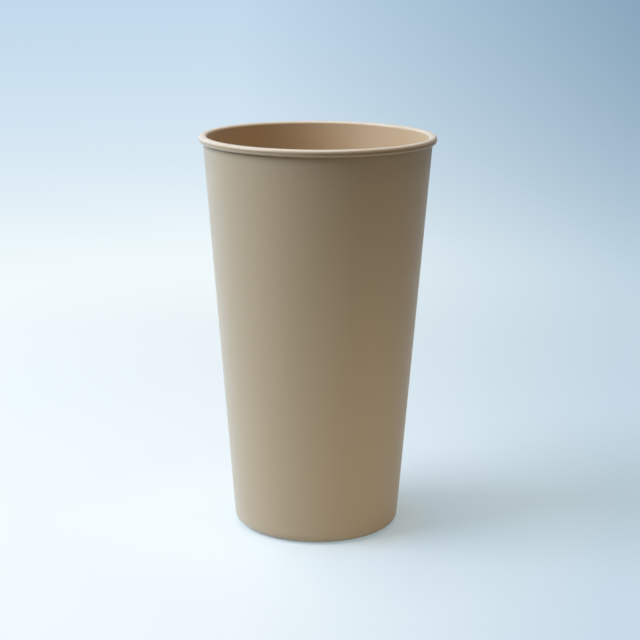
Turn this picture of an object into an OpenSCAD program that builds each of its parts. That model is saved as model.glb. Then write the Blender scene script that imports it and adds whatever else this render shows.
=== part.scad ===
// Tall tapered coffee cup with a double plastic wall.
// A liner holds the drink, a shell surrounds it with an air gap, and a cap closes the shell's bottom.
// Millimetres, +Z up, origin on the cup's axis in the plane that it stands on.

/* [Cup] */
// Height from the table to the top of the rim
cup_h = 152.5; // [125:0.5:175]
// Outside diameter of the rim, which a press-on lid fits
rim_d = 90; // [84:0.5:98]
// Outside diameter of the wall carried straight down to the table
foot_d = 63.5; // [58:0.5:70]
// Round between the wall and the foot
corner_r = 4; // [3:0.25:6]

/* [Rim] */
// Width of the rim from the mouth to its outer edge
rim_w = 3; // [2.7:0.1:4]
// Height of the lip, from the joint to the top of the rim
lip_h = 1.35; // [1.1:0.05:1.8]
// Round of the lip's inner and outer edge
lip_round = 1.05; // [0.5:0.05:1.05]
// Height of the collar, from its underside to the joint
collar_h = 1.25; // [1:0.05:2]
// Round of the collar's lower edge
collar_round = 0.7; // [0.4:0.05:0.9]
// How far the collar stands back from the lip's edge
collar_inset = 0.1; // [0:0.05:0.3]
// Bevel between the collar and the wall below it
neck_bevel = 0.15; // [0.1:0.05:0.5]
// Height of the shadow line between lip and collar
seam_h = 0.1; // [0.05:0.05:0.25]
// Depth of the shadow line
seam_depth = 0.15; // [0.1:0.05:0.5]

/* [Rim joint] */
// Width of the tongue on the collar
tongue_w = 0.5; // [0.4:0.05:0.7]
// Height of the tongue on the collar
tongue_h = 0.5; // [0.3:0.05:0.6]
// Clearance of the tongue in the lip's groove, on each side
tongue_fit = 0.05; // [0.02:0.01:0.1]
// Clearance between liner and shell at the joint
rim_fit = 0.05; // [0.02:0.01:0.15]

/* [Walls] */
// Thickness of the shell's wall, measured level
shell_wall = 0.7; // [0.6:0.05:1]
// Thickness of the shell's ledge under the cap
shell_floor = 1.2; // [0.9:0.1:1.8]
// Thickness of the liner's wall, measured level
liner_wall = 0.75; // [0.6:0.05:1]
// Thickness of the liner's floor
liner_floor = 1.2; // [0.9:0.1:2]
// Round inside the liner between wall and floor
liner_corner_r = 5; // [3:0.5:8]
// Gap between liner and shell beside the liner's floor
air_gap = 3; // [2:0.1:4]

/* [Base] */
// Diameter of the opening in the shell's ledge
opening_d = 44; // [38:0.5:48]
// Clearance between the cap's plug and the opening, on each side
plug_fit = 0.1; // [0.05:0.01:0.2]
// How far the cap's flange lies over the ledge
flange_lap = 2.5; // [1.5:0.1:3]
// Thickness of the cap's flange
flange_h = 1; // [0.8:0.1:1.6]
// How far the cap's underside lies above the table
cap_recess = 0.5; // [0.3:0.1:0.8]
// Diameter of the shallow well round the gate mark
gate_well_d = 9; // [6:0.5:14]
// Depth of the well round the gate mark
gate_well_depth = 0.4; // [0.2:0.1:0.6]
// Diameter of the gate mark
gate_d = 2.4; // [1.5:0.1:4]
// Height of the gate mark inside its well
gate_h = 0.25; // [0.1:0.05:0.4]

/* [Liner supports] */
// Outside diameter of the ring under the liner's floor
ring_d = 40; // [30:0.5:43]
// Thickness of the ring
ring_w = 1.2; // [0.8:0.1:2]
// Height of the ring, the air space under the liner's floor
ring_h = 4.5; // [3:0.1:7]
// Clearance between the ring and the cap
ring_fit = 0.1; // [0.05:0.01:0.3]
// Number of centring ribs
rib_count = 6; // [3:1:12]
// Thickness of a rib
rib_w = 1.2; // [0.8:0.1:2]
// Height of a rib
rib_h = 14; // [6:1:30]
// Clearance between a rib and the shell
rib_fit = 0.1; // [0.05:0.01:0.3]

/* [Hidden] */
$fn = 128;
plastic = [0.66, 0.58, 0.47];

// Run of one shape into the next where two shapes are joined or cut
bite = 0.2;
// Run of a corner's round past the faces that it joins
graze = 0.001;

// Rim
rim_r = rim_d / 2;
mouth_r = rim_r - rim_w;
joint_z = cup_h - lip_h;
collar_z = joint_z - collar_h;
collar_r = rim_r - collar_inset;

// Shell wall: a straight cone from the foot to the joint
foot_r = foot_d / 2;
bore_r = mouth_r + liner_wall + rim_fit;
shell_top_r = bore_r + shell_wall;
shell_lean = atan2(shell_top_r - foot_r, joint_z);
corner_in_r = corner_r - shell_wall;
function shell_out(z) = foot_r + z * tan(shell_lean);
function shell_in(z) = shell_out(z) - shell_wall;

// Tongue in the middle of the collar's top, between the bore and the shadow line
tongue_r = (bore_r + collar_r - seam_depth) / 2;

// Base stack from the table up
opening_r = opening_d / 2;
plug_r = opening_r - plug_fit;
flange_r = opening_r + flange_lap;
cap_top = shell_floor + flange_h;
ring_z = cap_top + ring_fit;
liner_under_z = ring_z + ring_h;
floor_z = liner_under_z + liner_floor;

// Liner wall: a straight cone from the floor's edge to a touch on the lip's inner round
floor_r = shell_in(floor_z) - air_gap - liner_wall;
lip_in = [mouth_r + lip_round, cup_h - lip_round];
lip_out = [rim_r - lip_round, cup_h - lip_round];
lip_run = lip_in - [floor_r, floor_z];
liner_lean = atan2(lip_run[0], lip_run[1]) - asin((lip_round - graze) / norm(lip_run));
lip_touch_z = lip_in[1] + lip_round * sin(liner_lean);
liner_corner_out_r = liner_corner_r + liner_wall;
liner_corner_z = liner_under_z + liner_corner_out_r;
function liner_in(z) = floor_r + (z - floor_z) * tan(liner_lean);
function liner_out(z) = liner_in(z) + liner_wall;

// Centre of a round of radius r that touches a level floor at z and, from inside, a wall that leans out
function corner_centre(wall_at_centre, z, r, lean) = [wall_at_centre - r / cos(lean), z + r];

// Solid of revolution below a leaning wall, with a rounded bottom corner
module tapered_section(centre, r, lean, top_r, top_z) {
    touch = r * [cos(lean), -sin(lean)];
    union() {
        polygon([
            [0, centre[1] - r],
            [centre[0], centre[1] - r],
            centre + touch,
            [top_r, top_z],
            [0, top_z]
        ]);
        intersection() {
            translate(centre) circle(r + graze);
            block([0, centre[1] - r], [centre[0] + 2 * r, top_z]);
        }
    }
}

// Rectangle given by its lower left and upper right corner
module block(low, high) {
    translate(low) square(high - low);
}

module collar_section() {
    round_centre = [collar_r - collar_round, collar_z + collar_round];
    intersection() {
        union() {
            block([bore_r, collar_z], [round_centre[0], joint_z]);
            block([bore_r, round_centre[1]], [collar_r, joint_z]);
            translate(round_centre) circle(collar_round);
        }
        block([bore_r, collar_z - bite], [collar_r + bite, joint_z]);
    }
}

// Bevel under the collar, carried a little into the collar above and the wall below
module neck_section() {
    corner = [shell_out(collar_z), collar_z];
    polygon([
        corner + [neck_bevel + bite, bite],
        corner + [-bite, bite],
        corner + [-bite, -neck_bevel - bite]
    ]);
}

module shell_section() {
    corner_in_z = shell_floor + corner_in_r;
    outer = corner_centre(shell_out(corner_r), 0, corner_r, shell_lean);
    inner = corner_centre(shell_in(corner_in_z), shell_floor, corner_in_r, shell_lean);
    difference() {
        union() {
            tapered_section(outer, corner_r, shell_lean, shell_top_r, joint_z);
            collar_section();
            neck_section();
            block([tongue_r - tongue_w / 2, joint_z - bite], [tongue_r + tongue_w / 2, joint_z + tongue_h]);
        }
        tapered_section(inner, corner_in_r, shell_lean, shell_in(joint_z + bite), joint_z + bite);
        block([0, -bite], [opening_r, shell_floor + bite]);
        block([collar_r - seam_depth, joint_z - seam_h], [rim_r + bite, joint_z + bite]);
    }
}

// Lip, with a run past the liner's inner wall that the drink's space cuts away
module lip_section() {
    intersection() {
        union() {
            translate(lip_in) circle(lip_round);
            translate(lip_out) circle(lip_round);
            block(lip_in, [lip_out[0], cup_h]);
            polygon([
                [mouth_r - bite, joint_z],
                [rim_r, joint_z],
                [rim_r, lip_out[1]],
                [lip_in[0], lip_touch_z],
                [mouth_r - bite, lip_touch_z]
            ]);
        }
        block([mouth_r - 2 * bite, joint_z], [rim_r + bite, cup_h + bite]);
    }
}

module liner_section() {
    wall_top_z = joint_z + bite;
    drink_top_z = lip_touch_z + bite;
    outer = corner_centre(liner_out(liner_corner_z), liner_under_z, liner_corner_out_r, liner_lean);
    inner = corner_centre(liner_in(floor_z + liner_corner_r), floor_z, liner_corner_r, liner_lean);
    groove_low = [tongue_r - tongue_w / 2 - tongue_fit, joint_z - bite];
    groove_high = [tongue_r + tongue_w / 2 + tongue_fit, joint_z + tongue_h + tongue_fit];
    difference() {
        union() {
            tapered_section(outer, liner_corner_out_r, liner_lean, liner_out(wall_top_z), wall_top_z);
            lip_section();
            block([ring_d / 2 - ring_w, ring_z], [ring_d / 2, liner_under_z + bite]);
        }
        tapered_section(inner, liner_corner_r, liner_lean, liner_in(drink_top_z), drink_top_z);
        block(groove_low, groove_high);
    }
}

// Upright rib that bridges the air gap above the liner's rounded corner
module centring_rib() {
    high_z = liner_corner_z + rib_h;
    rotate([90, 0, 0]) linear_extrude(rib_w, center = true) polygon([
        [liner_out(liner_corner_z) - bite, liner_corner_z],
        [shell_in(liner_corner_z) - rib_fit, liner_corner_z],
        [shell_in(high_z) - rib_fit, high_z],
        [liner_out(high_z) - bite, high_z]
    ]);
}

module outer_shell() {
    color(plastic) rotate_extrude() shell_section();
}

module inner_liner() {
    color(plastic) union() {
        rotate_extrude() liner_section();
        for (i = [0 : rib_count - 1]) rotate([0, 0, i * 360 / rib_count]) centring_rib();
    }
}

module base_cap() {
    well_top = cap_recess + gate_well_depth;
    color(plastic) rotate_extrude() union() {
        difference() {
            union() {
                block([0, shell_floor], [flange_r, cap_top]);
                block([0, cap_recess], [plug_r, cap_top]);
            }
            block([0, cap_recess - bite], [gate_well_d / 2, well_top]);
        }
        block([0, well_top - gate_h], [gate_d / 2, well_top + bite]);
    }
}

outer_shell();
inner_liner();
base_cap();
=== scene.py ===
"""A double-walled plastic coffee cup: fine meshes, finishes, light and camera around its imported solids.

Sizes of the cup are in millimetres, as in the part's source. Sizes of the studio are in metres.
"""

import logging
import math
from dataclasses import dataclass
from enum import Enum

import bmesh
import bpy
from mathutils import Matrix, Vector


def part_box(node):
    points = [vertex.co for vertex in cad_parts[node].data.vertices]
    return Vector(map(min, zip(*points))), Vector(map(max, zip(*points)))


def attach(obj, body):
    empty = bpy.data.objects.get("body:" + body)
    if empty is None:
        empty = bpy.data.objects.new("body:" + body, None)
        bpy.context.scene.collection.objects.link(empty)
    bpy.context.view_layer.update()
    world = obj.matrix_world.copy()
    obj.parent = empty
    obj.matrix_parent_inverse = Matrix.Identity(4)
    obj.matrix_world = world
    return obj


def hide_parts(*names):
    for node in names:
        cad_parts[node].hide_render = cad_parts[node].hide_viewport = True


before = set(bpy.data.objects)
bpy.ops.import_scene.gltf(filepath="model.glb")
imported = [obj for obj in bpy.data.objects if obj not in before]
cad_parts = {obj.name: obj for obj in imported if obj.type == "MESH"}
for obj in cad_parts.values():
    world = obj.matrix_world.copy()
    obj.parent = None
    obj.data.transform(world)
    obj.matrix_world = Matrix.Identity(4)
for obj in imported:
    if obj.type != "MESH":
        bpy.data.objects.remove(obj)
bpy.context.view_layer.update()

LOG = logging.getLogger("coffee_cup")
BODY = "root"
MM = 0.001
SHARP_ANGLE = math.radians(40)

Colour = tuple[float, float, float]
Place = tuple[float, float, float]
BLACK: Colour = (0.0, 0.0, 0.0)
WHITE: Colour = (1.0, 1.0, 1.0)


class ShaderTree:
    """Node tree of one material or of the world, with short calls that add and join nodes."""

    # Numbers of the Mix node's sockets for colours
    MIX_SHARE = 0
    MIX_LOW = 6
    MIX_HIGH = 7
    MIX_RESULT = 2

    def __init__(self, tree: bpy.types.NodeTree) -> None:
        """Takes over a node tree and empties it.

        Args:
            tree: Tree of a material or a world that uses nodes.
        """
        self.tree = tree
        tree.nodes.clear()

    def add(
        self, kind: str, inputs: dict[str | int, object] | None = None, **settings: object
    ) -> bpy.types.Node:
        """Adds a node.

        Args:
            kind: Blender's name of the node type, without the leading ShaderNode.
            inputs: For each socket's name or number, the socket that feeds it or its own value.
            settings: Properties of the node.

        Returns:
            The new node.
        """
        node = self.tree.nodes.new("ShaderNode" + kind)
        for name, value in settings.items():
            setattr(node, name, value)
        for socket, value in (inputs or {}).items():
            if isinstance(value, bpy.types.NodeSocket):
                self.tree.links.new(value, node.inputs[socket])
            else:
                node.inputs[socket].default_value = value
        return node

    def noise(
        self, place: bpy.types.NodeSocket, size: float, detail: float = 2.0
    ) -> bpy.types.NodeSocket:
        """Adds a noise texture.

        Args:
            place: Coordinates in metres.
            size: Size of a blotch in millimetres.
            detail: Number of finer layers.

        Returns:
            Noise from 0 to 1.
        """
        inputs = {"Vector": place, "Scale": 1 / (size * MM), "Detail": detail}
        return self.add("TexNoise", inputs).outputs[0]

    def ramp(
        self,
        value: bpy.types.NodeSocket,
        source: tuple[float, float],
        target: tuple[float, float],
        smooth: bool = False,
    ) -> bpy.types.NodeSocket:
        """Maps one range onto another and stops at its ends.

        Args:
            value: Number to map.
            source: Range that the number has.
            target: Range that it gets.
            smooth: Whether the ends ease in and out.

        Returns:
            The mapped number.
        """
        inputs = {
            "Value": value,
            "From Min": source[0],
            "From Max": source[1],
            "To Min": target[0],
            "To Max": target[1],
        }
        kind = "SMOOTHSTEP" if smooth else "LINEAR"
        return self.add("MapRange", inputs, interpolation_type=kind).outputs["Result"]

    def math(self, operation: str, *values: object) -> bpy.types.NodeSocket:
        """Adds a sum, a product or another simple step.

        Args:
            operation: Blender's name of the step.
            values: Sockets or numbers that go in.

        Returns:
            The result.
        """
        return self.add("Math", dict(enumerate(values)), operation=operation).outputs[0]

    def blend(self, share: bpy.types.NodeSocket, low: object, high: object) -> bpy.types.NodeSocket:
        """Mixes two colours.

        Args:
            share: Share of the second colour, from 0 to 1.
            low: Socket or red, green, blue and alpha of the first colour.
            high: Socket or red, green, blue and alpha of the second colour.

        Returns:
            The mixed colour.
        """
        inputs = {self.MIX_SHARE: share, self.MIX_LOW: low, self.MIX_HIGH: high}
        return self.add("Mix", inputs, data_type="RGBA").outputs[self.MIX_RESULT]

    def product(self, first: object, second: object) -> bpy.types.NodeSocket:
        """Multiplies two colours.

        Args:
            first: Socket or red, green, blue and alpha of the first colour.
            second: Socket or red, green, blue and alpha of the second colour.

        Returns:
            The product.
        """
        inputs = {self.MIX_SHARE: 1.0, self.MIX_LOW: first, self.MIX_HIGH: second}
        node = self.add("Mix", inputs, data_type="RGBA", blend_type="MULTIPLY")
        return node.outputs[self.MIX_RESULT]

    def seen(self) -> bpy.types.NodeSocket:
        """Adds a test of what a ray is for.

        Returns:
            1 for what the eye sees, also in a gloss, and 0 for light on its way to the cup.
        """
        ray = self.add("LightPath").outputs
        direct = self.math("MAXIMUM", ray["Is Camera Ray"], ray["Is Glossy Ray"])
        return self.math("MAXIMUM", direct, ray["Is Transmission Ray"])

    def end(self, shader: bpy.types.NodeSocket, kind: str = "OutputMaterial") -> None:
        """Joins the finished shader to the tree's output."""
        self.add(kind, {"Surface": shader})


def toned(colour: Colour, share: float = 0.0) -> tuple[float, float, float, float]:
    """The colour, lighter or darker by a share of itself, with full alpha."""
    return (*(part * (1 + share) for part in colour), 1.0)


class MouldTexture(Enum):
    """Textures that a mould leaves, as size and depth of the grain in millimetres."""

    FINE_GRAIN = (0.32, 0.010)
    SATIN = (0.22, 0.004)
    MATT = (0.45, 0.016)

    @property
    def size(self) -> float:
        """Size of one grain."""
        return self.value[0]

    @property
    def depth(self) -> float:
        """Depth of the grain."""
        return self.value[1]


@dataclass(frozen=True)
class WearBand:
    """Level band where a piece rubs against a table, a lip or a spoon. On the liner's lip it also carries
    a painted highlight that pales the colour.

    Attributes:
        full_z: Height of full wear.
        none_z: Height where the wear ends.
        gloss: Change of roughness at full wear.
        bleach_and_highlight: Share of the paler colour at full wear; on the liner's lip this paling is
            mostly a painted highlight.
        worn_and_highlight_colour: Colour that the plastic wears to, and on the liner's lip the colour of
            its painted highlight.
        scratch: Size of the scratches.
        patches: Levels of noise at which the wear starts and is full.
    """

    full_z: float
    none_z: float
    gloss: float
    bleach_and_highlight: float
    worn_and_highlight_colour: Colour = (1.0, 1.0, 1.0)
    scratch: float = 1.6
    patches: tuple[float, float] = (0.42, 0.68)


@dataclass(frozen=True)
class PlasticFinish:
    """Coloured plastic as it comes out of the mould, with soft flow marks, grain and a band of wear.

    Attributes:
        name: Name of the material.
        texture: Texture of the mould.
        wear: Where the piece is worn.
        colour: Colour of the plastic.
        roughness: Mean roughness.
        roughness_spread: How far the roughness strays from its mean.
        flow_size: Size of the flow marks.
        flow_tone: Share by which the flow marks change the colour.
        speck_size: Size of the pigment specks.
        speck_tone: Share by which the specks change the colour.
        sheen: Strength of the pale haze on the surface.
        gloss_level: Strength of the reflection, 0.5 for a bare polished face.
        painted_shade: Share by which painted shade darkens the colour deep in a corner, such as under the
            collar and in the seam.
    """

    name: str
    texture: MouldTexture
    wear: WearBand
    colour: Colour = (0.47, 0.345, 0.205)
    roughness: float = 0.48
    roughness_spread: float = 0.05
    flow_size: float = 26.0
    flow_tone: float = 0.03
    speck_size: float = 0.5
    speck_tone: float = 0.02
    sheen: float = 0.5
    gloss_level: float = 0.2
    painted_shade: float = 0.9

    FLOW_STRETCH = (1.0, 1.0, 0.4)
    REFRACTION = 1.49
    SHEEN_ROUGHNESS = 0.5
    PAINTED_SHADE_REACH = 3.0
    SPECK_NOISE = (0.55, 0.75)
    UNEVEN_NOISE = (0.3, 0.7)
    UNEVEN_PER_FLOW = 3
    FINE_DETAIL = 3.0
    SCRATCH_DETAIL = 4.0

    def material(self) -> bpy.types.Material:
        """Makes the material.

        Returns:
            A node material in the piece's own coordinates.
        """
        made = bpy.data.materials.new(self.name)
        made.use_nodes = True
        made.diffuse_color = toned(self.colour)
        shader = ShaderTree(made.node_tree)
        place = shader.add("TexCoord").outputs["Object"]
        worn = self.wear_and_highlight_share(shader, place)
        plastic = shader.add(
            "BsdfPrincipled",
            {
                "Base Color": self.colour_socket(shader, place, worn),
                "Roughness": self.roughness_socket(shader, place, worn),
                "Normal": self.grain_socket(shader, place),
                "IOR": self.REFRACTION,
                "Specular IOR Level": self.gloss_level,
                "Sheen Weight": self.sheen,
                "Sheen Roughness": self.SHEEN_ROUGHNESS,
            },
        )
        shader.end(plastic.outputs[0])
        return made

    def wear_and_highlight_share(self, shader: ShaderTree, place: bpy.types.NodeSocket) -> bpy.types.NodeSocket:
        """Adds the band of wear, which on the liner's lip also places a painted highlight.

        Args:
            shader: Tree of the material.
            place: Coordinates in metres.

        Returns:
            Share of wear, and on the lip of painted highlight, from 0 to 1.
        """
        height = shader.add("SeparateXYZ", {0: place}).outputs["Z"]
        ends = (self.wear.none_z * MM, self.wear.full_z * MM)
        low, high = min(ends), max(ends)
        band = shader.ramp(height, (low, high), (0, 1) if high == ends[1] else (1, 0), smooth=True)
        scratches = shader.noise(place, self.wear.scratch, self.SCRATCH_DETAIL)
        return shader.math("MULTIPLY", band, shader.ramp(scratches, self.wear.patches, (0, 1)))

    def colour_socket(
        self, shader: ShaderTree, place: bpy.types.NodeSocket, worn: bpy.types.NodeSocket
    ) -> bpy.types.NodeSocket:
        """Adds the colour with its flow marks, specks, wear and the painted shade in its corners.

        Args:
            shader: Tree of the material.
            place: Coordinates in metres.
            worn: Wear from 0 to 1, which also places the lip's painted highlight.

        Returns:
            The colour.
        """
        drawn_out = shader.add("Mapping", {"Vector": place, "Scale": self.FLOW_STRETCH}).outputs[0]
        flow = shader.noise(drawn_out, self.flow_size)
        dark, light = toned(self.colour, -self.flow_tone), toned(self.colour, self.flow_tone)
        base = shader.blend(flow, dark, light)
        grains = shader.noise(place, self.speck_size)
        specks = shader.ramp(grains, self.SPECK_NOISE, (0, self.speck_tone))
        flecked = shader.blend(specks, base, toned(BLACK))
        # Paler colour in the band of wear; on the liner's lip this paling is a painted highlight.
        bleach_and_highlight = shader.math("MULTIPLY", worn, self.wear.bleach_and_highlight)
        paled_and_highlit = shader.blend(bleach_and_highlight, flecked, toned(self.wear.worn_and_highlight_colour))
        # Painted shade: the colour goes towards black where the surface is closed in, under the collar,
        # in the seam and in inner corners.
        open_share = shader.add("AmbientOcclusion", {"Distance": self.PAINTED_SHADE_REACH * MM}, only_local=True)
        painted_shade_share = shader.ramp(open_share.outputs["AO"], (0, 1), (self.painted_shade, 0))
        return shader.blend(painted_shade_share, paled_and_highlit, toned(BLACK))

    def roughness_socket(
        self, shader: ShaderTree, place: bpy.types.NodeSocket, worn: bpy.types.NodeSocket
    ) -> bpy.types.NodeSocket:
        """Adds the roughness with its spread and wear.

        Args:
            shader: Tree of the material.
            place: Coordinates in metres.
            worn: Wear from 0 to 1.

        Returns:
            The roughness.
        """
        ends = (self.roughness - self.roughness_spread, self.roughness + self.roughness_spread)
        patches = shader.noise(place, self.flow_size / self.UNEVEN_PER_FLOW, self.FINE_DETAIL)
        uneven = shader.ramp(patches, self.UNEVEN_NOISE, ends)
        return shader.math("MULTIPLY_ADD", worn, self.wear.gloss, uneven)

    def grain_socket(self, shader: ShaderTree, place: bpy.types.NodeSocket) -> bpy.types.NodeSocket:
        """Adds the grain of the mould.

        Args:
            shader: Tree of the material.
            place: Coordinates in metres.

        Returns:
            The surface normal.
        """
        grain = shader.noise(place, self.texture.size, self.FINE_DETAIL)
        inputs = {"Height": grain, "Distance": self.texture.depth * MM}
        return shader.add("Bump", inputs).outputs["Normal"]


@dataclass(frozen=True)
class Corner:
    """Corner of a half section.

    Attributes:
        r: Distance from the cup's axis.
        z: Height above the table.
        blunt: Radius that rounds the corner.
    """

    r: float
    z: float
    blunt: float = 0.0

    @property
    def point(self) -> Vector:
        """The corner as a vector in the plane of the section."""
        return Vector((self.r, self.z))


@dataclass(frozen=True)
class HalfSection:
    """Half section of a turned piece, as a walk from corner to corner.

    Attributes:
        corners: The corners in order.
        closed: Whether the walk returns to its start. If not, it starts and ends on the axis.
    """

    corners: list[Corner]
    closed: bool

    ROW = 3.0
    GUARD = 0.12
    SHORTEST_RUN = 4 * GUARD
    ARC_STEP = math.radians(10)
    FEWEST_ARC_STEPS = 3

    def points(self) -> list[Vector]:
        """Rounds the corners and divides the straight runs between them.

        Returns:
            Points in order, without a repeat of the first.
        """
        rounds = [self.rounded(index) for index in range(len(self.corners))]
        found: list[Vector] = []
        for index, arc in enumerate(rounds):
            if index or self.closed:
                found += self.run(rounds[index - 1][-1], arc[0])
            found += arc
        return found

    def rounded(self, index: int) -> list[Vector]:
        """Rounds one corner.

        Args:
            index: Number of the corner.

        Returns:
            The points of its arc, or the corner itself where it stays sharp.
        """
        corner = self.corners[index]
        last = len(self.corners) - 1
        if corner.blunt == 0 or (not self.closed and index in (0, last)):
            return [corner.point]
        before = (corner.point - self.corners[index - 1].point).normalized()
        after = (self.corners[(index + 1) % len(self.corners)].point - corner.point).normalized()
        turn = math.atan2(before.cross(after), before.dot(after))
        start = corner.point - before * corner.blunt * math.tan(abs(turn) / 2)
        side = Vector((-before.y, before.x)) * math.copysign(corner.blunt, turn)
        steps = max(self.FEWEST_ARC_STEPS, math.ceil(abs(turn) / self.ARC_STEP))
        turns = (Matrix.Rotation(turn * step / steps, 2) for step in range(steps + 1))
        return [start + side - one @ side for one in turns]

    def run(self, start: Vector, end: Vector) -> list[Vector]:
        """Divides a straight run, with a close row at each end that keeps the rounds' shading off it.

        Args:
            start: Where the run starts.
            end: Where it ends.

        Returns:
            The points between the two.
        """
        length = (end - start).length
        if length < self.SHORTEST_RUN:
            return []
        rows = math.ceil(length / self.ROW)
        inner = [step / rows for step in range(1, rows)]
        guard = self.GUARD / length
        return [start.lerp(end, share) for share in (guard, *inner, 1 - guard)]


def lathe(name: str, section: HalfSection, segments: int = 168) -> bpy.types.Object:
    """Turns a half section about the Z axis.

    Args:
        name: Name of the new object.
        section: Half section in millimetres.
        segments: Number of facets round the axis. One facet is centred on +X.

    Returns:
        A closed mesh object in metres with smooth shading and a map of angle and length.
    """
    points = section.points()
    shape = bmesh.new()
    angles = [2 * math.pi * (step + 0.5) / segments for step in range(segments)]
    rings = []
    for point in points:
        r, z = point * MM
        around = angles if r > 0 else angles[:1]
        ring = [(r * math.cos(angle), r * math.sin(angle), z) for angle in around]
        rings.append([shape.verts.new(spot) for spot in ring])
    lengths = [0.0]
    for start, end in zip(points, points[1:] + points[:1]):
        lengths.append(lengths[-1] + (end - start).length)
    chart = shape.loops.layers.uv.new("turned")
    pairs = len(points) if section.closed else len(points) - 1
    for row in range(pairs):
        low, high = rings[row], rings[(row + 1) % len(rings)]
        for step in range(segments):
            following = (step + 1) % segments
            spots = (
                (low[step % len(low)], step, row),
                (low[following % len(low)], step + 1, row),
                (high[following % len(high)], step + 1, row + 1),
                (high[step % len(high)], step, row + 1),
            )
            unique = {spot[0]: spot for spot in spots}
            face = shape.faces.new(list(unique))
            for loop in face.loops:
                _, column, level = unique[loop.vert]
                loop[chart].uv = (column / segments, lengths[level] / lengths[-1])
    bmesh.ops.recalc_face_normals(shape, faces=shape.faces)
    return as_object(name, shape)


def as_object(name: str, shape: bmesh.types.BMesh) -> bpy.types.Object:
    """Puts a shape into the scene with smooth shading.

    Args:
        name: Name of the new object.
        shape: The shape in metres. It is freed.

    Returns:
        The new object.
    """
    mesh = bpy.data.meshes.new(name)
    for face in shape.faces:
        face.smooth = True
    shape.to_mesh(mesh)
    shape.free()
    mesh.set_sharp_from_angle(angle=SHARP_ANGLE)
    made = bpy.data.objects.new(name, mesh)
    bpy.context.scene.collection.objects.link(made)
    return made


def node_radius(node: str) -> float:
    """Largest radius of a turned CAD node, in millimetres."""
    low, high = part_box(node)
    return min(-low.x, high.x, -low.y, high.y) / MM


def node_heights(node: str) -> tuple[float, float]:
    """Lowest and highest point of a CAD node, in millimetres."""
    low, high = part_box(node)
    return low.z / MM, high.z / MM


@dataclass(frozen=True)
class LeaningWall:
    """Straight wall that leans out as it rises.

    Attributes:
        table_r: Radius of the wall carried down to the table.
        slope: Gain of radius for each unit of height.
    """

    table_r: float
    slope: float

    def at(self, z: float) -> float:
        """Radius at a height."""
        return self.table_r + self.slope * z

    def corner(self, z: float, blunt: float = 0.0) -> Corner:
        """Corner of a half section on the wall at a height."""
        return Corner(self.at(z), z, blunt)

    def moved_in(self, distance: float) -> "LeaningWall":
        """The same wall, nearer to the axis by a level distance."""
        return LeaningWall(self.table_r - distance, self.slope)


@dataclass(frozen=True)
class Rim:
    """Bead of the cup, which the liner's lip and the shell's collar make together.

    Attributes:
        outer_r: Outer radius of the lip.
        top_z: Top of the lip.
        collar_r: Outer radius of the collar.
        tongue_top_z: Top of the collar's tongue.
        width: Width of the bead from the mouth to its outer edge.
        liner_wall: Thickness of the liner's wall.
        fit: Clearance between the liner and the shell.
        tongue_w: Width of the tongue.
        tongue_h: Height of the tongue.
        seam_depth: Depth of the shadow line between lip and collar.
        seam_round: Round of the edges above and below the shadow line.
    """

    outer_r: float
    top_z: float
    collar_r: float
    tongue_top_z: float
    width: float = 3.0
    liner_wall: float = 0.75
    fit: float = 0.05
    tongue_w: float = 0.5
    tongue_h: float = 0.5
    seam_depth: float = 0.15
    seam_round: float = 0.05

    @classmethod
    def from_frame(cls) -> "Rim":
        """Reads the rim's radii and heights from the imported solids."""
        outer_r, collar_r = node_radius("inner_liner"), node_radius("outer_shell")
        return cls(outer_r, node_heights("inner_liner")[1], collar_r, node_heights("outer_shell")[1])

    @property
    def mouth_r(self) -> float:
        """Radius of the mouth."""
        return self.outer_r - self.width

    @property
    def bore_r(self) -> float:
        """Inner radius of the collar."""
        return self.mouth_r + self.liner_wall + self.fit

    @property
    def joint_z(self) -> float:
        """Height of the joint between lip and collar."""
        return self.tongue_top_z - self.tongue_h

    @property
    def tongue_r(self) -> float:
        """Radius of the tongue's middle."""
        return (self.bore_r + self.collar_r - self.seam_depth) / 2


@dataclass
class TurnedPiece:
    """One moulding of the cup, which stands for the CAD node of its own name.

    Attributes:
        rim: The bead that the piece is part of or fits.
    """

    rim: Rim

    NODE = ""
    SLOT = ""

    def section(self) -> HalfSection:
        """The piece's half section."""
        raise NotImplementedError

    def finish(self) -> PlasticFinish:
        """The piece's finish."""
        raise NotImplementedError

    def build(self) -> bpy.types.Object:
        """The piece's mesh."""
        return lathe(self.NODE + "_moulding", self.section())

    def dress(self, piece: bpy.types.Object) -> None:
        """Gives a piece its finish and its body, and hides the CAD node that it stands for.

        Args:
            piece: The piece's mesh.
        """
        piece.data.materials.append(self.finish().material())
        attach(piece, BODY)
        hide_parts(self.NODE)


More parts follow.
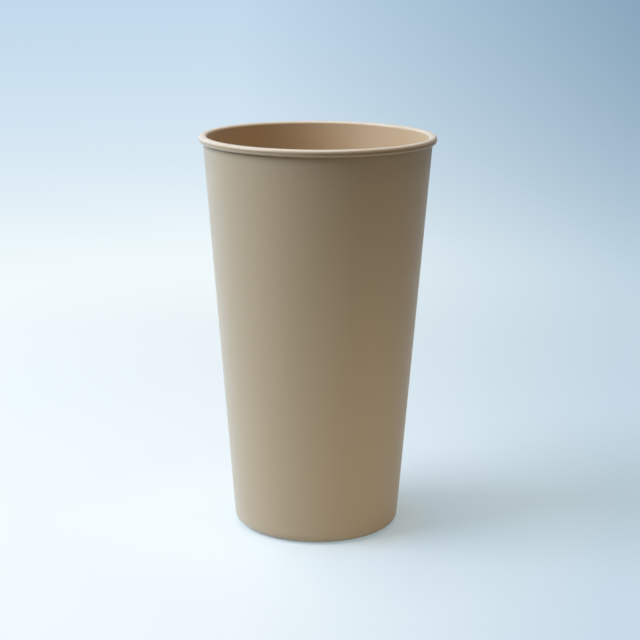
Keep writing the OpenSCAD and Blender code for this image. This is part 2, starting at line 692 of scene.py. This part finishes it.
@dataclass
class OuterShell(TurnedPiece):
    """Outer wall with the collar under the lip and the ledge that the base cap lies on.

    Attributes:
        foot_r: Radius of the outer wall carried down to the table.
        foot_round: Round between the wall and the foot.
        wall: Thickness of the wall.
        ledge: Thickness of the ledge.
        opening_r: Radius of the opening in the ledge.
        collar_h: Height of the collar.
        collar_round: Round of the collar's lower edge.
        neck_round: Round between the collar and the wall below it.
        seam_h: Height of the shadow line between lip and collar.
        edge_round: Round of small edges.
    """

    foot_r: float = 31.75
    foot_round: float = 4.0
    wall: float = 0.7
    ledge: float = 1.2
    opening_r: float = 22.0
    collar_h: float = 1.25
    collar_round: float = 0.7
    neck_round: float = 0.2
    seam_h: float = 0.1
    edge_round: float = 0.1

    NODE = "outer_shell"
    SLOT = "shell_plastic"

    @property
    def outside(self) -> LeaningWall:
        """The outer face of the wall."""
        top_r = self.rim.bore_r + self.wall
        return LeaningWall(self.foot_r, (top_r - self.foot_r) / self.rim.joint_z)

    @property
    def inside(self) -> LeaningWall:
        """The inner face of the wall."""
        return self.outside.moved_in(self.wall)

    def section(self) -> HalfSection:
        """Walks from the ledge's opening along the foot, up the wall, round the collar and down inside.

        Returns:
            The half section.
        """
        rim = self.rim
        joint_z = rim.joint_z
        collar_z = joint_z - self.collar_h
        seam_z = joint_z - self.seam_h
        seam_r = rim.collar_r - rim.seam_depth
        tongue_in, tongue_out = rim.tongue_r - rim.tongue_w / 2, rim.tongue_r + rim.tongue_w / 2
        edge = self.edge_round
        return HalfSection(
            [
                Corner(self.opening_r, 0, 2 * edge),
                self.outside.corner(0, self.foot_round),
                self.outside.corner(collar_z, self.neck_round),
                Corner(rim.collar_r, collar_z, self.collar_round),
                Corner(rim.collar_r, seam_z, rim.seam_round),
                Corner(seam_r, seam_z, rim.seam_round / 2),
                Corner(seam_r, joint_z, rim.seam_round / 2),
                Corner(tongue_out, joint_z),
                Corner(tongue_out, rim.tongue_top_z, edge),
                Corner(tongue_in, rim.tongue_top_z, edge),
                Corner(tongue_in, joint_z),
                Corner(rim.bore_r, joint_z, edge),
                self.inside.corner(self.ledge, self.foot_round - self.wall),
                Corner(self.opening_r, self.ledge, edge),
            ],
            closed=True,
        )

    def finish(self) -> PlasticFinish:
        """Fine grain with scuffs round the foot."""
        scuffs = WearBand(full_z=0, none_z=self.foot_round, gloss=0.12, bleach_and_highlight=0.06)
        return PlasticFinish("grained_tan_plastic", MouldTexture.FINE_GRAIN, scuffs)


@dataclass
class BaseCap(TurnedPiece):
    """Disc that closes the shell's bottom, with a plug in the ledge's opening and a flange above it.

    Attributes:
        shell: The shell that the cap closes.
        flange_r: Radius of the flange.
        under_z: Underside of the plug.
        top_z: Top of the flange.
        plug_fit: Clearance between the plug and the opening.
        well_r: Radius of the shallow well round the gate mark.
        well_depth: Depth of the well.
        gate_r: Radius of the gate mark.
        gate_h: Height of the gate mark inside its well.
        edge_round: Round of small edges.
    """

    shell: OuterShell
    flange_r: float
    under_z: float
    top_z: float
    plug_fit: float = 0.1
    well_r: float = 4.5
    well_depth: float = 0.4
    gate_r: float = 1.2
    gate_h: float = 0.25
    edge_round: float = 0.15

    NODE = "base_cap"
    SLOT = "cap_plastic"

    @classmethod
    def from_frame(cls, rim: Rim, shell: OuterShell) -> "BaseCap":
        """Reads the cap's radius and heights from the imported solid."""
        return cls(rim, shell, node_radius(cls.NODE), *node_heights(cls.NODE))

    def section(self) -> HalfSection:
        """Walks from the gate mark along the underside, up the plug and flange and back over the top.

        Returns:
            The half section.
        """
        well_z = self.under_z + self.well_depth
        plug_r = self.shell.opening_r - self.plug_fit
        edge = self.edge_round
        return HalfSection(
            [
                Corner(0, well_z - self.gate_h),
                Corner(self.gate_r, well_z - self.gate_h, edge / 2),
                Corner(self.gate_r, well_z, edge / 2),
                Corner(self.well_r, well_z, edge),
                Corner(self.well_r, self.under_z, edge),
                Corner(plug_r, self.under_z, 2 * edge),
                Corner(plug_r, self.shell.ledge),
                Corner(self.flange_r, self.shell.ledge, edge),
                Corner(self.flange_r, self.top_z, edge),
                Corner(0, self.top_z),
            ],
            closed=False,
        )

    def finish(self) -> PlasticFinish:
        """Matt underside, worn where it is lowest."""
        scuffs = WearBand(self.under_z, self.under_z + self.well_depth, gloss=0.1, bleach_and_highlight=0.05)
        return PlasticFinish("matt_tan_plastic", MouldTexture.MATT, scuffs, roughness=0.56)


@dataclass
class InnerLiner(TurnedPiece):
    """Inner cup that holds the drink, with the lip on top and the ring and ribs that carry it.

    Attributes:
        shell: The shell round the liner.
        ring_z: Underside of the ring under the floor.
        lip_round: Round of the lip's inner and outer edge.
        floor: Thickness of the floor.
        floor_round: Round inside between wall and floor.
        air_gap: Gap between liner and shell beside the floor.
        groove_fit: Clearance of the tongue in the lip's groove.
        ring_r: Outer radius of the ring.
        ring_w: Thickness of the ring.
        ring_h: Height of the ring.
        rib_count: Number of centring ribs.
        rib_h: Height of a rib.
        rib_fit: Clearance between a rib and the shell.
        edge_round: Round of small edges.
    """

    shell: OuterShell
    ring_z: float
    lip_round: float = 1.05
    floor: float = 1.2
    floor_round: float = 5.0
    air_gap: float = 3.0
    groove_fit: float = 0.05
    ring_r: float = 20.0
    ring_w: float = 1.2
    ring_h: float = 4.5
    rib_count: int = 6
    rib_h: float = 14.0
    rib_fit: float = 0.1
    edge_round: float = 0.1

    NODE = "inner_liner"
    SLOT = "liner_plastic"
    RIB_SLACK = 0.01

    @classmethod
    def from_frame(cls, rim: Rim, shell: OuterShell) -> "InnerLiner":
        """Reads the height of the liner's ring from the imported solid."""
        return cls(rim, shell, node_heights(cls.NODE)[0])

    @property
    def under_z(self) -> float:
        """Underside of the floor."""
        return self.ring_z + self.ring_h

    @property
    def floor_z(self) -> float:
        """Top of the floor."""
        return self.under_z + self.floor

    @property
    def inside(self) -> LeaningWall:
        """The wall's inner face, from the floor's edge to a touch on the lip's inner round."""
        rim = self.rim
        floor_r = self.shell.inside.at(self.floor_z) - self.air_gap - rim.liner_wall
        run = Vector((rim.mouth_r + self.lip_round - floor_r, rim.top_z - self.lip_round - self.floor_z))
        slope = math.tan(math.atan2(run.x, run.y) - math.asin(self.lip_round / run.length))
        return LeaningWall(floor_r - slope * self.floor_z, slope)

    @property
    def outside(self) -> LeaningWall:
        """The wall's outer face."""
        return self.inside.moved_in(-self.rim.liner_wall)

    @property
    def rib_ends(self) -> tuple[float, float]:
        """Lower and upper end of the ribs."""
        low = self.under_z + self.floor_round + self.rim.liner_wall
        return low, low + self.rib_h

    def section(self) -> HalfSection:
        """Walks from the axis along the underside, up outside, round the lip and down to the floor.

        Returns:
            The half section.
        """
        rim = self.rim
        joint_z = rim.joint_z
        ring_in = self.ring_r - self.ring_w
        reach = rim.tongue_w / 2 + self.groove_fit
        groove_in, groove_out = rim.tongue_r - reach, rim.tongue_r + reach
        groove_z = rim.tongue_top_z + self.groove_fit
        edge = self.edge_round
        return HalfSection(
            [
                Corner(0, self.under_z),
                Corner(ring_in, self.under_z, edge),
                Corner(ring_in, self.ring_z, edge),
                Corner(self.ring_r, self.ring_z, edge),
                Corner(self.ring_r, self.under_z, edge),
                self.outside.corner(self.under_z, self.floor_round + rim.liner_wall),
                self.outside.corner(self.rib_ends[0]),
                self.outside.corner(self.rib_ends[1]),
                self.outside.corner(joint_z),
                Corner(groove_in, joint_z),
                Corner(groove_in, groove_z),
                Corner(groove_out, groove_z),
                Corner(groove_out, joint_z),
                Corner(rim.outer_r, joint_z, rim.seam_round),
                Corner(rim.outer_r, rim.top_z, self.lip_round),
                self.inside.corner(rim.top_z, self.lip_round),
                self.inside.corner(self.floor_z, self.floor_round),
                Corner(0, self.floor_z),
            ],
            closed=False,
        )

    def build(self) -> bpy.types.Object:
        """Turns the liner and draws its ribs out of the wall.

        Returns:
            The liner.
        """
        piece = super().build()
        shape = bmesh.new()
        shape.from_mesh(piece.data)
        core = self.inside.moved_in(-self.rim.liner_wall / 2)
        strips = [face for face in shape.faces if self.is_under_rib(face, core)]
        drawn = bmesh.ops.extrude_face_region(shape, geom=strips)["geom"]
        reach = self.shell.inside.moved_in(self.rib_fit)
        for vert in (part for part in drawn if isinstance(part, bmesh.types.BMVert)):
            vert.co.xy = vert.co.xy.normalized() * reach.at(vert.co.z / MM) * MM
        bmesh.ops.recalc_face_normals(shape, faces=shape.faces)
        shape.to_mesh(piece.data)
        shape.free()
        piece.data.set_sharp_from_angle(angle=SHARP_ANGLE)
        return piece

    def is_under_rib(self, face: bmesh.types.BMFace, core: LeaningWall) -> bool:
        """Tells whether a facet of the turned wall is the root of a rib.

        Args:
            face: Facet of the liner.
            core: Middle of the liner's wall.

        Returns:
            True for the facets of the outer wall at the ribs' angles and heights.
        """
        middle = face.calc_center_median()
        low, high = self.rib_ends
        between = low < middle.z / MM < high
        outer = middle.xy.length / MM > core.at(middle.z / MM)
        turn = math.atan2(middle.y, middle.x) * self.rib_count / math.tau
        return between and outer and abs(turn - round(turn)) < self.RIB_SLACK

    def finish(self) -> PlasticFinish:
        """Satin, a little polished at the lip, where a painted highlight pales the colour."""
        # The lip is rubbed glossier, and its paler colour is a painted highlight.
        polish_and_painted_highlight = WearBand(
            self.rim.top_z,
            self.rim.joint_z,
            gloss=-0.08,
            bleach_and_highlight=0.9,
            worn_and_highlight_colour=(0.50, 0.45, 0.39),
            scratch=0.25,
            patches=(0.2, 0.6),
        )
        return PlasticFinish(
            "satin_tan_plastic",
            MouldTexture.SATIN,
            polish_and_painted_highlight,
            colour=(0.51, 0.34, 0.19),
            roughness=0.44,
            sheen=0.1,
            gloss_level=0.4,
        )


@dataclass(frozen=True)
class SoftBox:
    """Rectangular studio lamp.

    Attributes:
        name: Name of the lamp.
        place: Where its middle is.
        aim: Point that it faces.
        size: Width and height.
        watts: Power.
        colour: Colour of its light.
        cup_only: Whether its light falls on the cup alone and not on the floor.
    """

    name: str
    place: Place
    aim: Place
    size: tuple[float, float]
    watts: float
    colour: Colour
    cup_only: bool = False

    def build(self, cup: bpy.types.Collection) -> bpy.types.Object:
        """Makes the lamp.

        Args:
            cup: The pieces of the cup.

        Returns:
            The lamp.
        """
        lamp = bpy.data.lights.new(self.name, "AREA")
        lamp.shape = "RECTANGLE"
        lamp.size, lamp.size_y = self.size
        lamp.energy = self.watts
        lamp.color = self.colour
        made = bpy.data.objects.new(self.name, lamp)
        made.location = self.place
        made.rotation_euler = (Vector(self.aim) - Vector(self.place)).to_track_quat("-Z", "Y").to_euler()
        made.visible_camera = False
        if self.cup_only:
            made.light_linking.receiver_collection = cup
        bpy.context.scene.collection.objects.link(made)
        return made


@dataclass(frozen=True)
class Floor:
    """Plain pale floor that turns into a soft backdrop away from the cup.

    Attributes:
        half: Half of its width.
        colour: Colour of the floor.
        glow: Light of the floor's own for the eye, which softens the cup's shadow.
        foot_glow: The same at the light side of the cup's foot.
        foot_reach: Distances from the cup between which the foot's glow falls off.
        foot_fan: Shades of the fan between which the foot's glow turns from light to dark side.
        contact_glow: The same in the shadow close to the foot, warm from the cup.
        contact_reach: Distances from the cup between which the warmth falls off.
        bounce: Brightness of the floor for the cup, close to it and far from it.
        bounce_reach: Distances from the cup between which the bounce falls off.
        near: Colour of the backdrop where it starts.
        far: Colour of the backdrop far away.
        near_dim: Colour of the backdrop's dark side where it starts.
        far_dim: Colour of the backdrop's dark side far away.
        table_dim: Share of the floor's colour that is left at its dark side, where it is painted shade.
        backdrop_reach: Distances from the cup between which the floor turns into the backdrop.
        near_reach: Distance at which the backdrop has its near colour.
        near_ease: How softly the backdrop comes to its near colour.
        fan_y: Place in front of the cup from which the backdrop's shades fan out.
        fan: Sines of the fan's angles between which the floor and backdrop darken with painted shade.
    """

    half: float = 30.0
    colour: Colour = (0.407, 0.36, 0.343)
    glow: Colour = (0.28, 0.39, 0.44)
    foot_glow: Colour = (0.40, 0.50, 0.53)
    foot_reach: tuple[float, float] = (0.035, 0.11)
    foot_fan: tuple[float, float] = (0.1, 0.5)
    contact_glow: Colour = (0.305, 0.36, 0.35)
    contact_reach: tuple[float, float] = (0.031, 0.052)
    bounce: tuple[float, float] = (0.5, 0.05)
    bounce_reach: tuple[float, float] = (0.08, 0.35)
    near: Colour = (0.94, 1.0, 1.0)
    far: Colour = (0.482, 0.657, 0.82)
    near_dim: Colour = (0.58, 0.715, 0.81)
    far_dim: Colour = (0.204, 0.339, 0.467)
    table_dim: Colour = (0.74, 0.83, 0.91)
    backdrop_reach: tuple[float, float] = (0.2, 0.6)
    near_reach: float = 0.48
    near_ease: float = 0.5
    fan_y: float = -0.65
    fan: tuple[float, float] = (-0.05, 0.18)

    def build(self) -> bpy.types.Object:
        """Makes the floor.

        Returns:
            The floor.
        """
        shape = bmesh.new()
        bmesh.ops.create_grid(shape, x_segments=1, y_segments=1, size=self.half)
        made = as_object("floor", shape)
        made.data.materials.append(self.material())
        return made

    def material(self) -> bpy.types.Material:
        """Makes the floor's material: pale for the eye, and a bounce of light for the cup.

        Returns:
            The material.
        """
        made = bpy.data.materials.new("pale_floor")
        made.use_nodes = True
        shader = ShaderTree(made.node_tree)
        place = shader.add("TexCoord").outputs["Object"]
        distance = shader.add("VectorMath", {0: place}, operation="LENGTH").outputs["Value"]
        fan_start = (0, -self.fan_y, 0)
        from_fan = shader.add("VectorMath", {0: place, 1: fan_start}, operation="ADD").outputs[0]
        fan = self.fan_share(shader, from_fan)
        table = self.table_socket(shader, distance, fan)
        backdrop = self.backdrop_socket(shader, distance, fan)
        away = shader.ramp(distance, self.backdrop_reach, (0, 1), smooth=True)
        for_eye = shader.add("MixShader", {0: away, 1: table, 2: backdrop})
        bounce = shader.ramp(distance, self.bounce_reach, self.bounce, smooth=True)
        for_cup = shader.add("BsdfDiffuse", {"Color": bounce})
        inputs = {0: shader.seen(), 1: for_cup.outputs[0], 2: for_eye.outputs[0]}
        shader.end(shader.add("MixShader", inputs).outputs[0])
        return made

    def table_socket(
        self, shader: ShaderTree, distance: bpy.types.NodeSocket, fan: bpy.types.NodeSocket
    ) -> bpy.types.NodeSocket:
        """Adds the floor round the cup, which takes its shadow.

        Args:
            shader: Tree of the floor's material.
            distance: Distance from the cup.
            fan: Shade of the fan from 0 to 1.

        Returns:
            The shader.
        """
        tint = shader.blend(fan, toned(WHITE), toned(self.table_dim))
        pale = shader.add("BsdfDiffuse", {"Color": shader.product(toned(self.colour), tint)})
        glow_colour = self.glow_socket(shader, distance, fan)
        glow = shader.add("Emission", {"Color": shader.product(glow_colour, tint)})
        return shader.add("AddShader", {0: pale.outputs[0], 1: glow.outputs[0]}).outputs[0]

    def backdrop_socket(
        self, shader: ShaderTree, distance: bpy.types.NodeSocket, fan: bpy.types.NodeSocket
    ) -> bpy.types.NodeSocket:
        """Adds the backdrop, which shines by itself.

        Args:
            shader: Tree of the floor's material.
            distance: Distance from the cup.
            fan: Shade of the fan from 0 to 1.

        Returns:
            The shader.
        """
        share = shader.math("DIVIDE", self.near_reach, distance)
        nearness = shader.math("SMOOTH_MIN", share, 1.0, self.near_ease)
        light_side = shader.blend(nearness, toned(self.far), toned(self.near))
        dark_side = shader.blend(nearness, toned(self.far_dim), toned(self.near_dim))
        return shader.add("Emission", {"Color": shader.blend(fan, light_side, dark_side)}).outputs[0]

    def glow_socket(
        self, shader: ShaderTree, distance: bpy.types.NodeSocket, fan: bpy.types.NodeSocket
    ) -> bpy.types.NodeSocket:
        """Adds the floor's own light, which differs close to the cup's foot.

        Args:
            shader: Tree of the floor's material.
            distance: Distance from the cup.
            fan: Shade of the fan from 0 to 1.

        Returns:
            The colour of the light.
        """
        light_foot = shader.ramp(distance, self.foot_reach, (1, 0), smooth=True)
        light_foot = shader.math("MULTIPLY", light_foot, shader.ramp(fan, self.foot_fan, (1, 0)))
        dark_foot = shader.ramp(distance, self.contact_reach, (1, 0), smooth=True)
        dark_foot = shader.math("MULTIPLY", dark_foot, shader.ramp(fan, self.foot_fan, (0, 1)))
        lifted = shader.blend(light_foot, toned(self.glow), toned(self.foot_glow))
        return shader.blend(dark_foot, lifted, toned(self.contact_glow))

    def fan_share(self, shader: ShaderTree, direction: bpy.types.NodeSocket) -> bpy.types.NodeSocket:
        """Adds the fan of painted shade that darkens the floor, the backdrop and the surround to one
        side.

        Args:
            shader: Tree of the floor's material or of the world.
            direction: Direction from the fan's middle.

        Returns:
            Shade from 0 to 1.
        """
        spoke = shader.add("VectorMath", {0: direction}, operation="NORMALIZE").outputs[0]
        aside = shader.add("SeparateXYZ", {0: spoke}).outputs["X"]
        return shader.ramp(aside, self.fan, (0, 1))


@dataclass(frozen=True)
class PhotoCamera:
    """Camera at the photograph's place and angle.

    Attributes:
        focal_px: Focal length in pixels of the square picture.
        picture_px: Side of the picture in pixels.
        distance: Distance from the point that the camera looks at, in millimetres.
        pitch: Tilt down in degrees.
        roll: Turn about the line of sight in degrees.
        aim: Point that the camera looks at, in millimetres.
    """

    focal_px: float = 1711.05
    picture_px: float = 640.0
    distance: float = 662.97
    pitch: float = 13.371
    roll: float = 0.29
    aim: Place = (1.139, 0.0, 80.474)

    SENSOR = 36.0

    def build(self) -> bpy.types.Object:
        """Makes the camera and takes the scene's picture with it.

        Returns:
            The camera.
        """
        lens = bpy.data.cameras.new("photo_camera")
        lens.sensor_width = self.SENSOR
        lens.lens = self.SENSOR * self.focal_px / self.picture_px
        made = bpy.data.objects.new("photo_camera", lens)
        tilt = Matrix.Rotation(math.radians(90 - self.pitch), 4, "X")
        roll = Matrix.Rotation(math.radians(self.roll), 4, "Z")
        back = tilt @ Vector((0, 0, self.distance))
        made.matrix_world = Matrix.Translation((Vector(self.aim) + back) * MM) @ tilt @ roll
        bpy.context.scene.collection.objects.link(made)
        bpy.context.scene.camera = made
        return made


@dataclass(frozen=True)
class Studio:
    """Floor, lamps and surround of the picture.

    Attributes:
        floor: The floor.
        lamps: The lamps.
        surround: Colour of the light from all round.
        surround_strength: Strength of that light.
    """

    floor: Floor = Floor()
    lamps: tuple[SoftBox, ...] = (
        SoftBox("key_lamp", (-0.90, -0.20, 0.81), (0, 0, 0.07), (0.8, 0.8), 21.4, (0.652, 0.80, 1.0)),
        SoftBox("edge_lamp", (-0.70, 0.60, 0.30), (0, 0, 0.10), (0.7, 0.55), 2.6, (0.6, 0.83, 1.0)),
        SoftBox("top_lamp", (0.0, 0.0, 1.2), (0, 0, 0), (0.7, 0.7), 11.1, (1.0, 0.949, 0.795)),
        SoftBox(
            "right_card",
            (0.18, -0.11, 0.02),
            (0, 0, 0.03),
            (0.17, 0.03),
            0.063,
            (1.0, 0.93, 0.77),
            cup_only=True,
        ),
        SoftBox(
            "front_card",
            (0.03, -0.22, 0.02),
            (0, 0, 0.03),
            (0.16, 0.03),
            0.05,
            (0.96, 1.0, 0.95),
            cup_only=True,
        ),
    )
    surround: Colour = (1.0, 0.7, 0.5)
    surround_strength: float = 0.06

    def build(self, pieces: list[bpy.types.Object]) -> None:
        """Makes the floor, the lamps and the surround.

        Args:
            pieces: The pieces of the cup.
        """
        cup = bpy.data.collections.new("cup")
        for piece in pieces:
            cup.objects.link(piece)
        self.floor.build()
        for lamp in self.lamps:
            lamp.build(cup)
        bpy.context.scene.world = self.world()

    def world(self) -> bpy.types.World:
        """Makes the surround: plain light for the cup, and the backdrop's far shades for the eye.

        Returns:
            The world.
        """
        made = bpy.data.worlds.new("studio")
        made.use_nodes = True
        shader = ShaderTree(made.node_tree)
        plain = {"Color": toned(self.surround), "Strength": self.surround_strength}
        light = shader.add("Background", plain)
        direction = shader.add("TexCoord").outputs["Generated"]
        fan = self.floor.fan_share(shader, direction)
        sky_colour = shader.blend(fan, toned(self.floor.far), toned(self.floor.far_dim))
        sky = shader.add("Background", {"Color": sky_colour, "Strength": 1.0})
        inputs = {0: shader.seen(), 1: light.outputs[0], 2: sky.outputs[0]}
        shader.end(shader.add("MixShader", inputs).outputs[0], "OutputWorld")
        return made


def main() -> None:
    """Builds the cup, the studio and the camera."""
    logging.basicConfig(level=logging.INFO, format="%(name)s: %(message)s")
    bpy.context.scene.view_settings.view_transform = "Standard"
    rim = Rim.from_frame()
    shell = OuterShell(rim)
    pieces: list[bpy.types.Object] = []
    for part in (shell, InnerLiner.from_frame(rim, shell), BaseCap.from_frame(rim, shell)):
        piece = part.build()
        part.dress(piece)
        pieces.append(piece)
        LOG.info("%s has %d faces in slot %s", piece.name, len(piece.data.polygons), part.SLOT)
    Studio().build(pieces)
    PhotoCamera().build()


if __name__ == "__main__":
    main()
